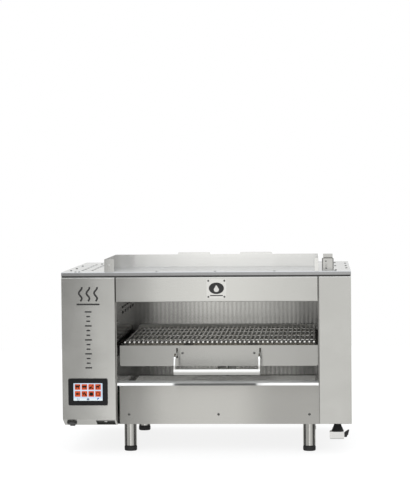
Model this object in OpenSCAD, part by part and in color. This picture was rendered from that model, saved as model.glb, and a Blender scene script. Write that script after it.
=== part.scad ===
// Countertop broiler grill with a lifting pull-out grate, touch display column,
// infrared burners above the cavity, fat pan, heat guard and levelling feet.
// Millimetres, +Z up. The origin is on the floor at the centre of the overall outline.

/* [Casing] */
// Overall width of the casing
body_w = 940; // [900:5:1000]
// Depth of the casing from the front plane to the rear panel
body_d = 650; // [640:5:700]
// Height of the top cover's surface above the floor
body_h = 595; // [580:1:640]
// Height of the base pan's underside above the floor
under_h = 90; // [80:1:100]
// Width of the left column that holds the display
left_w = 174; // [165:1:190]
// Width of the right column that holds the gas parts
right_w = 103; // [95:1:120]
// Thickness of the sheet steel
sheet = 1.5; // [1:0.1:2]
// Height of the top cover's folded edge
lid_lip = 12; // [8:1:16]
// Shadow gap between the top cover's edge and the fronts
shadow = 5; // [3:0.5:8]
// Distance that the lower front panel is set back
recess = 70; // [60:1:80]

/* [Cavity] */
// Height of the fascia's lower edge, the top of the opening
open_top = 497; // [480:1:510]
// Height of the front lip's surface, the bottom of the opening
lip_h = 233; // [225:1:240]
// Depth of the cavity's rear wall behind the front plane
wall_d = 615; // [600:1:620]

/* [Grate carriage] */
// Height of the rods' upper side at the grate's front, at the lowest position
grate_h = 363.5; // [360:0.5:366]
// Rise of the grate from front to back, so that fat runs forward
grate_rise = 6; // [0:0.5:10]
// Number of grate rods
rod_n = 42; // [30:1:50]
// Pitch of the grate rods
rod_pitch = 15.1; // [14:0.1:16]
// Diameter of the grate rods
rod_d = 6; // [5:0.5:8]
// Width of the carriage's front panel
front_w = 648; // [630:1:650]
// Height of the carriage's front panel
front_h = 67.5; // [60:0.5:75]
// Diameter of the handle bar
bar_d = 20; // [16:0.5:22]
// Distance between the two handle arms
arm_gap = 272; // [240:1:300]

/* [Legs] */
// Diameter of the leg tubes
leg_d = 41; // [35:1:50]
// Distance between the left and right legs
leg_x = 590; // [560:1:600]
// Height of the plastic feet below the tubes
foot_h = 18; // [12:1:20]

/* [Hidden] */
$fn = 48;
e = 0.01;
t = sheet;
xl = -body_w / 2;
xr = body_w / 2;
yf = -body_d / 2 + 25;
yb = yf + body_d;
zt = body_h;
zb = under_h;
xc0 = xl + left_w;
xc1 = xr - right_w;
front_top = zt - lid_lip - shadow;
cx0 = xc0 + 5;
cx1 = xc1 - 3;
cxm = (cx0 + cx1) / 2;
yp = yf + recess;
yw = yf + wall_d;
chz = 115;
chy = yf + 52;
ch_a = atan2(chz - zb, chy - yf);
rz = grate_h - rod_d / 2;
yc = yf + 50;
fz1 = 351;
fz0 = fz1 - front_h;
fcx = cxm + 1.5;
sx0 = -274.5;
sx1 = 353.5;
sxm = (sx0 + sx1) / 2;
sy1 = yw - 12.5;
pivy = yc + 20;
pivz = 326;
bary = yf - 60;
barz = 276;
scr_x = 36;
scr_y = yw + t + 16;
lift_z = 318;
arm_z0 = 240;
arm_z1 = 277;
leg_cx = 37;
leg_y0 = yf + 95;
leg_y1 = yf + 570;
burn_w = 200;
burn_pitch = 216;
burn_y0 = yf + 50;
burn_y1 = yf + 572;
roof_z = 505;
gas_x = 425;
man_y = yf + 595;
man_z = 543;
shut_y = yf + 110;
fan_x = -384;
fan_z = 400;
disp_x = -386;
disp_z = 205;
pan_z1 = 190;
pan_z0 = 158;
panel_top = lip_h - 7.5;
bend_r = 3;
port_at = 27;
pocket_at = 31;
badge_x = 35.5;
port_x = -443;
pocket_x = -332;
guard_h = 42;
guard_d = 336;
steel = [0.74, 0.74, 0.72];
dark = [0.09, 0.09, 0.1];

// ---- helpers ----

// Box between two corners
module box(a, b) {
  translate(a)
    cube([b[0] - a[0], b[1] - a[1], b[2] - a[2]]);
}

function unit(v) = v / norm(v);
function left(v) = [-v[1], v[0]];
function seg_n(p, i) = left(unit(p[i + 1] - p[i]));
function miter(a, b, s) = s * (a + b) / (1 + a * b);
// Points of a folded strip: the outer line and the same line set in by s
function off_pt(p, i, s) = i == 0 ? p[0] + s * seg_n(p, 0)
  : i == len(p) - 1 ? p[i] + s * seg_n(p, i - 1)
  : p[i] + miter(seg_n(p, i - 1), seg_n(p, i), s);
function strip(p, s) = concat(p, [for (i = [len(p) - 1:-1:0]) off_pt(p, i, s)]);

// Round a corner b between a and c with radius r, in n steps
function arc(a, b, c, r, n) =
  let (u = unit(a - b), v = unit(c - b), half = acos(u * v) / 2, turn = 180 - 2 * half,
    o = b + unit(u + v) * r / sin(half), p = b + u * r / tan(half) - o, q = b + v * r / tan(half) - o)
  [for (i = [0:n]) o + (p * sin(turn * (1 - i / n)) + q * sin(turn * i / n)) / sin(turn)];
// Line p with each inner corner bent to radius r
function bend(p, r = bend_r, n = 4) = [for (i = [0:len(p) - 1])
  each i == 0 || i == len(p) - 1 ? [p[i]] : arc(p[i - 1], p[i], p[i + 1], r, n)];

// Sheet folded along a line in Y and Z, running from x0 to x1
module fold_x(p, x0, x1, s = t) {
  translate([x0, 0, 0])
    rotate([90, 0, 90])
      linear_extrude(height = x1 - x0)
        polygon(strip(p, s));
}

// Flat profile in Y and Z, running from x0 to x1
module prof_x(p, x0, x1) {
  translate([x0, 0, 0])
    rotate([90, 0, 90])
      linear_extrude(height = x1 - x0)
        polygon(p);
}

// Cylinder along X, Y or Z from a to b
module rod_x(y, z, r, a, b) {
  translate([a, y, z])
    rotate([0, 90, 0])
      cylinder(r = r, h = b - a);
}

module rod_y(x, z, r, a, b) {
  translate([x, b, z])
    rotate([90, 0, 0])
      cylinder(r = r, h = b - a);
}

module rod_z(x, y, r, a, b) {
  translate([x, y, a])
    cylinder(r = r, h = b - a);
}

// Flat profile in X and Z, running from y0 to y1
module prof_y(p, y0, y1) {
  translate([0, y1, 0])
    rotate([90, 0, 0])
      linear_extrude(height = y1 - y0)
        polygon(p);
}

// Upright plate with four rounded corners, thickness from y0 to y1
module round_plate(x0, x1, z0, z1, y0, y1, r) {
  box([x0 + r, y0, z0], [x1 - r, y1, z1]);
  box([x0, y0, z0 + r], [x1, y1, z1 - r]);
  for (x = [x0 + r, x1 - r], z = [z0 + r, z1 - r])
    rod_y(x, z, r, y0, y1);
}

// Slot with round ends, cut along Z, long side along Y
module slot_y(x, y0, y1, r, z0, z1) {
  box([x - r, y0 + r, z0], [x + r, y1 - r, z1]);
  rod_z(x, y0 + r, r, z0, z1);
  rod_z(x, y1 - r, r, z0, z1);
}

// Pan-head screw along +Z with its head's seat at the origin
module screw(r = 2, hr = 4.2, hh = 2.2, l = 6) {
  translate([0, 0, -l])
    cylinder(r = r, h = l);
  difference() {
    intersection() {
      cylinder(r = hr, h = hh);
      translate([0, 0, hh - 6.4])
        sphere(r = 6.4);
    }
    translate([0, 0, hh - 1])
      cylinder(r = 1.2, h = 2, $fn = 6);
  }
}

// Screw that points out of a front face at Y = y
module front_screw(x, y, z, hr = 4.2) {
  translate([x, y, z])
    rotate([90, 0, 0])
      screw(hr = hr);
}

// Places children on the sloped underside of the left column, +Z outwards
module on_slope(x, along) {
  translate([x, yf + along * cos(ch_a), chz - along * sin(ch_a)])
    rotate([180 - ch_a, 0, 0])
      children();
}

// ---- casing ----

module base_pan() {
  color(steel) difference() {
    union() {
      box([xl + t, yp + t, zb], [xr - t, yb - t, zb + t]);
      box([xl + t, yp + 5, zb + t], [xl + 2 * t, yb - t, zb + 15]);
      box([xr - 2 * t, yp + 5, zb + t], [xr - t, yb - t, zb + 15]);
      box([xl + 2 * t, yb - 2 * t, zb + t], [xr - 2 * t, yb - t, zb + 15]);
    }
    for (x = [-430, -400, -370, -340], y = [-120, 0])
      slot_y(x, y, y + 70, 3, zb - 1, zb + t + 1);
    for (x = [-140, -80, 150, 210], y = [-60, 60])
      slot_y(x, y, y + 70, 3, zb - 1, zb + t + 1);
    rod_z(gas_x, shut_y, 9, zb - 1, zb + t + 1);
    for (x = [-leg_x / 2, leg_x / 2], y = [leg_y0, leg_y1])
      rod_z(leg_cx + x, y, 6.1, zb - 1, zb + t + 1);
  }
}

module rear_panel() {
  color(steel) difference() {
    union() {
      box([xl, yb - t, zb], [xr, yb, zt - lid_lip]);
      translate([405, yb, 170])
        rotate([-90, 0, 0])
          cylinder(r = 12, h = 20);
      rod_y(405, 170, 14, yb, yb + 6);
    }
    rod_y(405, 170, 5.5, yb - 5, yb + 25);
    for (i = [-4:4])
      box([fan_x - sqrt(36 * 36 - 64 * i * i) - 4, yb - t - 1, fan_z + i * 8 - 2],
        [fan_x + sqrt(36 * 36 - 64 * i * i) + 4, yb + 1, fan_z + i * 8 + 2]);
    for (x = [400, 430], z = [500, 515, 530])
      box([x - 12, yb - t - 1, z], [x + 12, yb + 1, z + 5]);
  }
}

module left_side_panel() {
  color(steel) difference() {
    prof_x([[yf + t, chz + t], [chy + 1, zb + t], [yp + t, zb + t], [yp + t, zb],
      [yb - t, zb], [yb - t, zt - lid_lip], [yf + t, zt - lid_lip]], xl, xl + t);
    for (i = [0:5])
      box([xl - 1, 60 + i * 30, 140], [xl + t + 1, 68 + i * 30, 220]);
  }
}

module right_side_panel() {
  color(steel) difference() {
    prof_x([[yf + t, 101 + t], [yp + t, zb + t + 0.2], [yp + t, zb], [yb - t, zb],
      [yb - t, zt - lid_lip], [yf + t, zt - lid_lip]], xr - t, xr);
    for (i = [0:5])
      box([xr - t - 1, 60 + i * 30, 140], [xr + 1, 68 + i * 30, 220]);
  }
}

module left_front_cover() {
  color(steel) difference() {
    union() {
      fold_x(concat(bend([[yf + 14, front_top], [yf, front_top], [yf, chz + 20]]),
        [[yf, chz], [chy, zb], [yp + t, zb]]), xl, xc0);
      prof_x([[yf + t, chz], [chy, zb + e], [yp, zb + e], [yp, front_top - t],
        [yf + t, front_top - t]], xc0 - t, xc0);
    }
    box([xl - 1, yf + t, front_top - t - 2], [xl + t, yf + 20, front_top + 1]);
    box([disp_x - 57, yf - 1, disp_z - 37], [disp_x + 57, yf + t + 1, disp_z + 37]);
    on_slope(port_x, port_at)
      translate([0, 0, -4])
        cylinder(r = 12, h = 8);
    on_slope(pocket_x, pocket_at)
      translate([-31, -24, -4])
        cube([62, 44, 8]);
    for (z = [140, 540])
      rod_x(yp - 12, z, 2.1, xc0 - t - 1, xc0 + 1);
  }
}

module right_front_cover() {
  color(steel) difference() {
    union() {
      fold_x(concat(bend([[yf + 14, front_top], [yf, front_top], [yf, 121]]),
        [[yf, 101], [yp, zb]]), xc1, xr);
      prof_x([[yf + t, 101], [yp, zb + e], [yp, front_top - t], [yf + t, front_top - t]],
        xc1, xc1 + t);
    }
    box([xr - t, yf + t, front_top - t - 2], [xr + 1, yf + 20, front_top + 1]);
    for (z = [140, 540])
      rod_x(yp - 12, z, 2.1, xc1 - 1, xc1 + t + 1);
  }
}

top_scr = [[-160, 9], [31, 9], [223, 9], [-424, 9], [-412, 9], [420, 9],
  [-450, 97], [-450, 232], [-450, 387], [-400, 529], [422, 69], [422, 329],
  [422, 539], [458, 188], [458, 329], [458, 492]];

module top_cover() {
  color(steel) difference() {
    prof_x(bend([[yf, zt - lid_lip], [yf, zt], [yb, zt], [yb, zt - lid_lip]]), xl, xr);
    box([xl + t, yf + t, zt - lid_lip - 1], [xr - t, yb - t, zt - t]);
    for (x = [-414, -382], i = [0:5])
      slot_y(x, yf + 100 + i * 71, yf + 145 + i * 71, 3, zt - t - 1, zt + 1);
    for (p = top_scr)
      rod_z(p[0], yf + p[1], 2.05, zt - t - 1, zt + 1);
    box([380, yf + 83, zt - t - 1], [412, yf + 112, zt + 1]);
    for (i = [0:9])
      slot_y(-300 + i * 72, yf + 400, yf + 560, 4, zt - t - 1, zt + 1);
  }
}

module front_rail() {
  color([0.3, 0.3, 0.3]) difference() {
    box([xl + t, yf + 3, front_top], [xr - t, yf + 20, zt - t]);
    box([xl + t - 1, yf + 4.5, front_top + t], [xr - t + 1, yf + 21, zt - t - 1.5]);
    for (p = top_scr)
      if (p[1] < 20)
        rod_z(p[0], yf + p[1], 2.05, front_top - 1, zt + 1);
  }
}

module heat_guard() {
  gx0 = -329;
  gx1 = 365.5;
  y1 = yf + guard_d;
  color(steel) {
    difference() {
      union() {
        box([gx0, yf + 2, zt], [gx0 + t, y1, zt + guard_h]);
        box([gx1 - t, yf + 2, zt], [gx1, y1, zt + guard_h]);
        box([gx0, yf + 2, zt], [gx0 + 32, yf + 2 + t, zt + guard_h]);
        box([gx1 - 12, yf + 2, zt], [gx1, yf + 2 + t, zt + guard_h]);
        box([gx0, y1 - t, zt], [gx1, y1, zt + guard_h]);
        box([gx0, y1 - t - 1.5, zt + guard_h - 15], [gx1, y1 - t, zt + guard_h]);
        for (x = [-59, 153]) {
          box([x - 55, y1 - t, zt + guard_h], [x + 55, y1, zt + guard_h + 3]);
          box([x - 51, y1 - t, zt + guard_h + 3], [x + 51, y1, zt + guard_h + 7]);
          for (s = [-51, 51])
            rod_y(x + s, zt + guard_h + 3, 4, y1 - t, y1);
        }
      }
      rod_y(gx0 + 16, zt + 21, 2.1, yf, yf + 6);
    }
    front_screw(gx0 + 16, yf + 2, zt + 21, 3.2);
  }
}

// Square tube with rounded corners along Z
module round_tube(x0, x1, y0, y1, r, z0, z1) {
  box([x0 + r, y0, z0], [x1 - r, y1, z1]);
  box([x0, y0 + r, z0], [x1, y1 - r, z1]);
  for (x = [x0 + r, x1 - r], y = [y0 + r, y1 - r])
    rod_z(x, y, r, z0, z1);
}

module top_duct() {
  y0 = yf + 80;
  y1 = y0 + 35;
  color(steel) {
    difference() {
      round_tube(377, 415, y0, y1, 4, zt, zt + 37);
      round_tube(377 + t, 415 - t, y0 + t, y1 - t, 4 - t, zt - 1, zt + 38);
      box([387.5, y0 - 1, zt + 3], [394, y0 + t + 1, zt + 21]);
      box([387.5, y0 - 1, zt + 26], [392, y0 + t + 1, zt + 31]);
    }
    box([381, y1 - t, zt + 37], [412, y1, zt + 51]);
    box([381, y1 - 12, zt + 37], [381 + t, y1 - t, zt + 51]);
    box([412 - t, y1 - 12, zt + 37], [412, y1 - t, zt + 51]);
  }
}

module top_screws() {
  color([0.6, 0.6, 0.6])
    for (p = top_scr)
      translate([p[0], yf + p[1], zt])
        screw(hr = 3.6);
}

module front_fascia() {
  color(steel) difference() {
    fold_x(bend([[yf + 14, front_top], [yf, front_top], [yf, open_top], [yf + 30, open_top]]),
      cx0, xc1 - 5);
    for (x = [-26, 26], z = [513.5, 565.5])
      rod_y(badge_x + x, z, 2.05, yf - 1, yf + t + 1);
  }
}

module badge_plate() {
  color([0.8, 0.8, 0.79]) difference() {
    box([badge_x - 32, yf - 1.2, 508], [badge_x + 32, yf, 571]);
    for (x = [-26, 26], z = [513.5, 565.5])
      rod_y(badge_x + x, z, 2.05, yf - 2, yf + 1);
  }
  color(dark) difference() {
    rod_y(badge_x, 539.5, 17, yf - 2, yf - 1.2);
    rod_y(badge_x, 539.5, 11, yf - 3, yf);
  }
}

module lower_front_panel() {
  color(steel) difference() {
    union() {
      box([xc0 + 7, yp, zb], [xc1 - 1, yp + t, panel_top]);
      box([xc0 + 7, yp + t, zb + t], [xc1 - 1, yp + 14, zb + 2 * t]);
    }
    for (x = [-260, 35, 333])
      rod_y(x, 122, 2.05, yp - 1, yp + t + 1);
    for (x = [-leg_x / 2, leg_x / 2])
      rod_z(leg_cx + x, leg_y0, 18, zb + t - 1, zb + 2 * t + 1);
  }
}

// The lip's front edge slopes back towards its top
module front_lip() {
  color([0.85, 0.85, 0.84])
    fold_x([[yp + 2 * t, lip_h - 20], [yp + 2 * t, lip_h], [yf + 3, lip_h], [yf, panel_top]],
      cx0 + 0.5, cx1 - 0.5);
}

module panel_screws() {
  color([0.5, 0.5, 0.5]) {
    for (x = [-260, 35, 333])
      front_screw(x, yp, 122);
    for (x = [-26, 26], z = [513.5, 565.5])
      front_screw(badge_x + x, yf - 1.2, z, 3.2);
    for (z = [436, 256]) {
      translate([cx0, yf + 18, z])
        rotate([0, 90, 0])
          screw(hr = 4, l = 2.8);
      translate([cx1, yf + 18, z])
        rotate([0, -90, 0])
          screw(hr = 4, l = 2.8);
    }
  }
}

// ---- cavity ----

module cavity_left_wall() {
  color([0.55, 0.55, 0.52]) difference() {
    union() {
      box([cx0 - t, yp + 15, zb + t], [cx0, yb - 2 * t - 0.3, panel_top]);
      box([cx0 - t, yf + 3, panel_top], [cx0, yb - 2 * t - 0.3, front_top]);
      box([cx0 - 3.5, yf + 3, lip_h], [cx0 - t, yf + 3 + t, open_top]);
    }
    for (i = [0:4]) {
      box([cx0 - t - 1, yf + 175 + i * 81, 445], [cx0 + 1, yf + 217 + i * 81, 455]);
      box([cx0 - t - 1, yf + 160 + i * 81, 465], [cx0 + 1, yf + 220 + i * 81, 471]);
    }
    for (z = [436, 256])
      rod_x(yf + 18, z, 2.05, cx0 - t - 1, cx0 + 1);
  }
}

module cavity_right_wall() {
  color([0.55, 0.55, 0.52]) difference() {
    union() {
      box([cx1, yp + 15, zb + t], [cx1 + t, yb - 2 * t - 0.3, panel_top]);
      box([cx1, yf + 3, panel_top], [cx1 + t, yb - 2 * t - 0.3, front_top]);
    }
    for (z = [436, 256])
      rod_x(yf + 18, z, 2.05, cx1 - 1, cx1 + t + 1);
    rod_x(man_y, man_z, 8.5, cx1 - 1, cx1 + t + 1);
  }
}

module cavity_rear_wall() {
  color([0.6, 0.6, 0.58]) difference() {
    box([cx0, yw, zb + t], [cx1, yw + t, front_top]);
    for (x = [4, 39])
      box([x, yw - 1, 185], [x + 29, yw + t + 1, 371]);
    box([16, yw - 1, zb], [56, yw + t + 1, 140]);
  }
}

module cavity_roof() {
  color([0.45, 0.45, 0.43]) difference() {
    box([cx0, yf + 31, roof_z], [cx1, yw, roof_z + t]);
    for (i = [-1:1])
      box([cxm + i * burn_pitch - 93, burn_y0 + 7, roof_z - 1],
        [cxm + i * burn_pitch + 93, burn_y1 - 7, roof_z + t + 1]);
  }
}

module pan_ledges() {
  color(steel) {
    box([cx0, yf + 85, pan_z1 - 3], [cx0 + 10, yw - 1, pan_z1 - 1.5]);
    box([cx0, yf + 85, pan_z1 - 13], [cx0 + 1.5, yw - 1, pan_z1 - 3]);
    box([cx1 - 10, yf + 85, pan_z1 - 3], [cx1, yw - 1, pan_z1 - 1.5]);
    box([cx1 - 1.5, yf + 85, pan_z1 - 13], [cx1, yw - 1, pan_z1 - 3]);
  }
}

module fat_pan() {
  x0 = cx0 + 11;
  x1 = cx1 - 11;
  y0 = yf + 78;
  y1 = yw - 14;
  color([0.62, 0.62, 0.6]) {
    difference() {
      box([x0, y0, pan_z0], [x1, y1, pan_z1]);
      box([x0 + t, y0 + t, pan_z0 + t], [x1 - t, y1 - t, pan_z1 + 1]);
    }
    box([x0 - 7.5, yf + 86, pan_z1 - 1.5], [x0, y1, pan_z1]);
    box([x1, yf + 86, pan_z1 - 1.5], [x1 + 7.5, y1, pan_z1]);
  }
}

module burner_boxes() {
  color([0.5, 0.5, 0.5])
    for (i = [-1:1])
      difference() {
        box([cxm + i * burn_pitch - burn_w / 2, burn_y0, roof_z + t],
          [cxm + i * burn_pitch + burn_w / 2, burn_y1, 556]);
        box([cxm + i * burn_pitch - burn_w / 2 + t, burn_y0 + t, roof_z],
          [cxm + i * burn_pitch + burn_w / 2 - t, burn_y1 - t, 556 - t]);
        rod_y(cxm + i * burn_pitch, man_z, 6.2, burn_y1 - t - 1, burn_y1 + 1);
      }
}

module burner_plates() {
  color([0.86, 0.82, 0.72])
    for (i = [-1:1])
      difference() {
        box([cxm + i * burn_pitch - 98, burn_y0 + 2, roof_z + t],
          [cxm + i * burn_pitch + 98, burn_y1 - 2, roof_z + t + 12]);
        for (j = [1:5])
          box([cxm + i * burn_pitch - 99, burn_y0 + j * 87 - 1, roof_z],
            [cxm + i * burn_pitch + 99, burn_y0 + j * 87 + 1, roof_z + t + 3]);
      }
}

module burner_screens() {
  color([0.35, 0.33, 0.31])
    for (i = [-1:1]) {
      difference() {
        box([cxm + i * burn_pitch - 100, burn_y0, roof_z - 4],
          [cxm + i * burn_pitch + 100, burn_y1, roof_z]);
        box([cxm + i * burn_pitch - 92, burn_y0 + 8, roof_z - 5],
          [cxm + i * burn_pitch + 92, burn_y1 - 8, roof_z + 1]);
      }
      for (j = [-4:4])
        box([cxm + i * burn_pitch + j * 20 - 1, burn_y0 + 7, roof_z - 3],
          [cxm + i * burn_pitch + j * 20 + 1, burn_y1 - 7, roof_z - 1]);
      for (j = [1:5])
        box([cxm + i * burn_pitch - 93, burn_y0 + j * 87 - 1, roof_z - 3],
          [cxm + i * burn_pitch + 93, burn_y0 + j * 87 + 1, roof_z - 1]);
    }
}

module insulation_board() {
  color([0.85, 0.83, 0.76])
    box([cx0 + 2, burn_y0, 556], [cx1 - 2, burn_y1, 574]);
}

module igniter() {
  color([0.9, 0.9, 0.88])
    for (i = [-1:1]) {
      rod_y(cxm + i * burn_pitch + 70, roof_z + 24, 4, burn_y1, burn_y1 + 26);
      rod_y(cxm + i * burn_pitch + 70, roof_z + 24, 1.5, burn_y1 + 26, burn_y1 + 34);
      rod_y(cxm + i * burn_pitch + 50, roof_z + 24, 3, burn_y1, burn_y1 + 20);
    }
}

// ---- gas ----

module gas_manifold() {
  color([0.7, 0.6, 0.35]) difference() {
    union() {
      rod_x(man_y, man_z, 8, cxm - burn_pitch - 20, gas_x);
      rod_z(gas_x, man_y, 8, 230, man_z);
      translate([gas_x, man_y, man_z])
        sphere(r = 8);
    }
    for (i = [-1:1])
      rod_y(cxm + i * burn_pitch, man_z, 3, man_y - 12, man_y);
  }
}

module injectors() {
  color([0.8, 0.65, 0.3])
    for (i = [-1:1])
      difference() {
        union() {
          rod_y(cxm + i * burn_pitch, man_z, 6, burn_y1 - 10, man_y - 12);
          rod_y(cxm + i * burn_pitch, man_z, 2.9, man_y - 12, man_y - 3);
          translate([cxm + i * burn_pitch, man_y - 8.5, man_z])
            rotate([90, 0, 0])
              cylinder(r = 8, h = 5.5, $fn = 6);
        }
        rod_y(cxm + i * burn_pitch, man_z, 1, burn_y1 - 11, man_y);
        rod_x(man_y, man_z, 8, cxm - burn_pitch - 20, gas_x);
      }
}

module gas_valve() {
  color([0.62, 0.62, 0.6]) {
    box([gas_x - 24, man_y - 30, 160], [gas_x + 24, man_y + 24, 222]);
    rod_z(gas_x, man_y, 13, 222, 230);
    rod_z(gas_x, man_y, 13, 152, 160);
  }
  color(dark) {
    box([gas_x - 18, man_y - 62, 170], [gas_x + 18, man_y - 30, 212]);
  }
}

module inlet_pipe() {
  color([0.75, 0.62, 0.35]) {
    rod_z(gas_x, shut_y, 8, zb - 2, 125);
    translate([gas_x, shut_y, 125])
      sphere(r = 8);
    rod_y(gas_x, 125, 8, shut_y, man_y);
    translate([gas_x, man_y, 125])
      sphere(r = 8);
    rod_z(gas_x, man_y, 8, 125, 152);
  }
}

module shutoff_boot() {
  color(dark) difference() {
    translate([gas_x, shut_y, 63]) {
      cylinder(r1 = 20.5, r2 = 16.5, h = 8);
      translate([0, 0, 8])
        cylinder(r1 = 17, r2 = 12.5, h = 9);
      translate([0, 0, 17])
        cylinder(r1 = 13, r2 = 8.8, h = zb - 80);
    }
    rod_z(gas_x, shut_y, 8, zb - 2, zb + 1);
  }
}

module shutoff_body() {
  x0 = gas_x - 26.5;
  x1 = gas_x + 21.5;
  z0 = 36;
  z1 = 63;
  y0 = shut_y - 14;
  y1 = shut_y + 14;
  zm = 49.5;
  color([0.8, 0.8, 0.8]) difference() {
    union() {
      intersection() {
        prof_x(bend([[shut_y, z0], [y0, z0], [y0, z1], [y1, z1], [y1, z0], [shut_y + 1, z0]],
          4, 5), x0, x1);
        round_plate(x0, x1, z0, z1, y0, y1, 5);
      }
      rod_y(gas_x - 2, zm, 10.48, y1, y1 + 18);
      rod_x(shut_y, zm, 4, x1 - 8, x1 + 8.5);
    }
    rod_y(gas_x - 2, zm, 7, y1 - 4, y1 + 19);
    box([x0 - 1, y0 - 1, zm - 1.2], [x1 + 1, y0 + 2.2, zm + 1.2]);
  }
}

module shutoff_lever() {
  x = gas_x + 22;
  color(dark) difference() {
    union() {
      rod_x(shut_y, 49.5, 8, x, x + 9);
      prof_y([[x, 42.2], [x + 4, 41.5], [x + 12.5, 50], [x + 16, 65], [x + 13, 66], [x, 57]],
        shut_y - 6, shut_y + 6);
    }
    rod_x(shut_y, 49.5, 4.06, x - 1, x + 8.5);
  }
}

// ---- legs ----

module leg_tubes() {
  color(steel)
    for (x = [-leg_x / 2, leg_x / 2], y = [leg_y0, leg_y1])
      difference() {
        union() {
          rod_z(leg_cx + x, y, leg_d / 2, foot_h, zb);
          rod_z(leg_cx + x, y, 6, zb, zb + 16);
        }
        rod_z(leg_cx + x, y, leg_d / 2 - 1.5, foot_h - 1, zb - 46);
        rod_z(leg_cx + x, y, 5.06, foot_h - 1, zb - 6);
      }
}

module foot(x, y) {
  color(dark) {
    translate([x, y, 0])
      cylinder(r1 = 19, r2 = 20.8, h = 3);
    rod_z(x, y, 20.8, 3, foot_h - 4);
    rod_z(x, y, 19.6, foot_h - 4, foot_h - 0.3);
    rod_z(x, y, 5, foot_h - 0.4, zb - 10);
  }
}

module foot_front_left() {
  foot(leg_cx - leg_x / 2, leg_y0);
}

module foot_front_right() {
  foot(leg_cx + leg_x / 2, leg_y0);
}

module foot_rear_left() {
  foot(leg_cx - leg_x / 2, leg_y1);
}

module foot_rear_right() {
  foot(leg_cx + leg_x / 2, leg_y1);
}

// ---- lift ----

module guide_rods() {
  color([0.8, 0.8, 0.82])
    for (x = [-76, 76])
      rod_z(scr_x + x, scr_y, 6, zb + t, 560);
}

module bearing_bracket() {
  color(steel) difference() {
    union() {
      box([scr_x - 90, yw + t, 545], [scr_x + 90, yb - t, 553]);
      box([scr_x - 90, yw + t, 553], [scr_x + 90, yw + 2 * t, 574]);
    }
    for (x = [-76, 76])
      rod_z(scr_x + x, scr_y, 6, 540, 560);
    rod_z(scr_x, scr_y, 5.06, 540, 560);
  }
}

module gear_motor() {
  color([0.25, 0.25, 0.27]) difference() {
    union() {
      box([scr_x - 15, yw + 2.5, zb + t], [scr_x + 15, yb - 3.5, 130]);
      rod_y(scr_x, 111, 17.5, yw - 75, yw + 2.5);
    }
    rod_z(scr_x, scr_y, 5.06, 118, 131);
  }
}

module lead_screw() {
  color([0.75, 0.75, 0.75]) {
    rod_z(scr_x, scr_y, 5, 119, 552);
    rod_z(scr_x, scr_y, 9, 131, 150);
  }
}

module lift_block() {
  color([0.6, 0.62, 0.65]) difference() {
    union() {
      box([scr_x - 92, scr_y - 11, arm_z0 - 4], [scr_x + 92, scr_y + 11, arm_z1 + 6]);
      for (x = [18.5, 53.5])
        box([x - 4, sy1 + 7.5, arm_z0], [x + 4, scr_y - 11, arm_z1]);
    }
    for (x = [-76, 76])
      rod_z(scr_x + x, scr_y, 6.06, arm_z0 - 5, arm_z1 + 7);
    rod_z(scr_x, scr_y, 5.06, arm_z0 - 5, arm_z1 + 7);
  }
}

module lift_frame() {
  y0 = yf + 64;
  y1 = sy1 + 1.5;
  color([0.5, 0.5, 0.5]) {
    box([cx0 + 2, y1, lift_z - 3], [cx1 - 2, y1 + 6, lift_z + 34]);
    box([scr_x - 60, y1, arm_z0 - 4], [scr_x + 60, y1 + 6, lift_z - 3]);
    box([cx0 + 2, y0, lift_z], [cx0 + 3.5, y1, lift_z + 30]);
    box([cx0 + 2, y0, lift_z], [sx0 - 1.3, y1, lift_z + 1.5]);
    box([cx0 + 2, y0, lift_z + 28.5], [sx0 - 1.3, y1, lift_z + 30]);
    box([cx1 - 3.5, y0, lift_z], [cx1 - 2, y1, lift_z + 30]);
    box([sx1 + 1.3, y0, lift_z], [cx1 - 2, y1, lift_z + 1.5]);
    box([sx1 + 1.3, y0, lift_z + 28.5], [cx1 - 2, y1, lift_z + 30]);
  }
}

// ---- carriage ----

module carriage_frame() {
  z0 = 303;
  z1 = rz - 8;
  color([0.5, 0.5, 0.48]) {
    for (x = [sx0, sx1 - t])
      prof_x([[yc + t, z0], [sy1, z0], [sy1, z1 + grate_rise], [yc + 15, z1],
        [yc + 15, fz1 - 4], [yc + t, fz1 - 4]], x, x + t);
    box([sx0, yc + 34, z0], [sx1, yc + 34 + t, fz1 - 4]);
    box([sx0, yc + t, z0], [sx0 + 16, sy1, z0 + t]);
    box([sx1 - 16, yc + t, z0], [sx1, sy1, z0 + t]);
    round_plate(sx0 - 4.5, sx1 + 2, fz1, grate_h + grate_rise + 4.5, sy1 - t, sy1, 10);
    box([sx0, sy1 - t, z0], [sx1, sy1, z1 + grate_rise]);
  }
}

module carriage_front() {
  x0 = fcx - front_w / 2;
  x1 = fcx + front_w / 2;
  r = 6;
  color([0.66, 0.66, 0.64]) difference() {
    union() {
      box([x0, yc, fz0 + r], [x1, yc + t, fz1]);
      box([x0 + r, yc, fz0], [x1 - r, yc + t, fz1]);
      rod_y(x0 + r, fz0 + r, r, yc, yc + t);
      rod_y(x1 - r, fz0 + r, r, yc, yc + t);
      fold_x([[yc + 10.5, fz1 + 7], [yc, fz1]], x0 + 4, x1 - 4);
      box([x0 + r, yc, fz0], [x1 - r, yc + 11, fz0 + t]);
    }
    for (x = [-arm_gap / 2, arm_gap / 2])
      box([38 + x - 3, yc - 1, pivz - 16.5], [38 + x + 3, yc + t + 1, pivz + 16.5]);
    for (x = [-80, 155])
      rod_y(x, pivz, 2.05, yc - 1, yc + t + 1);
  }
}

module slide_bars() {
  color([0.3, 0.3, 0.3]) {
    box([cx0 + 4.2, yf + 66, lift_z + 2], [sx0, sy1 - 4, lift_z + 28]);
    box([sx1, yf + 66, lift_z + 2], [cx1 - 4.2, sy1 - 4, lift_z + 28]);
  }
}

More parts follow.
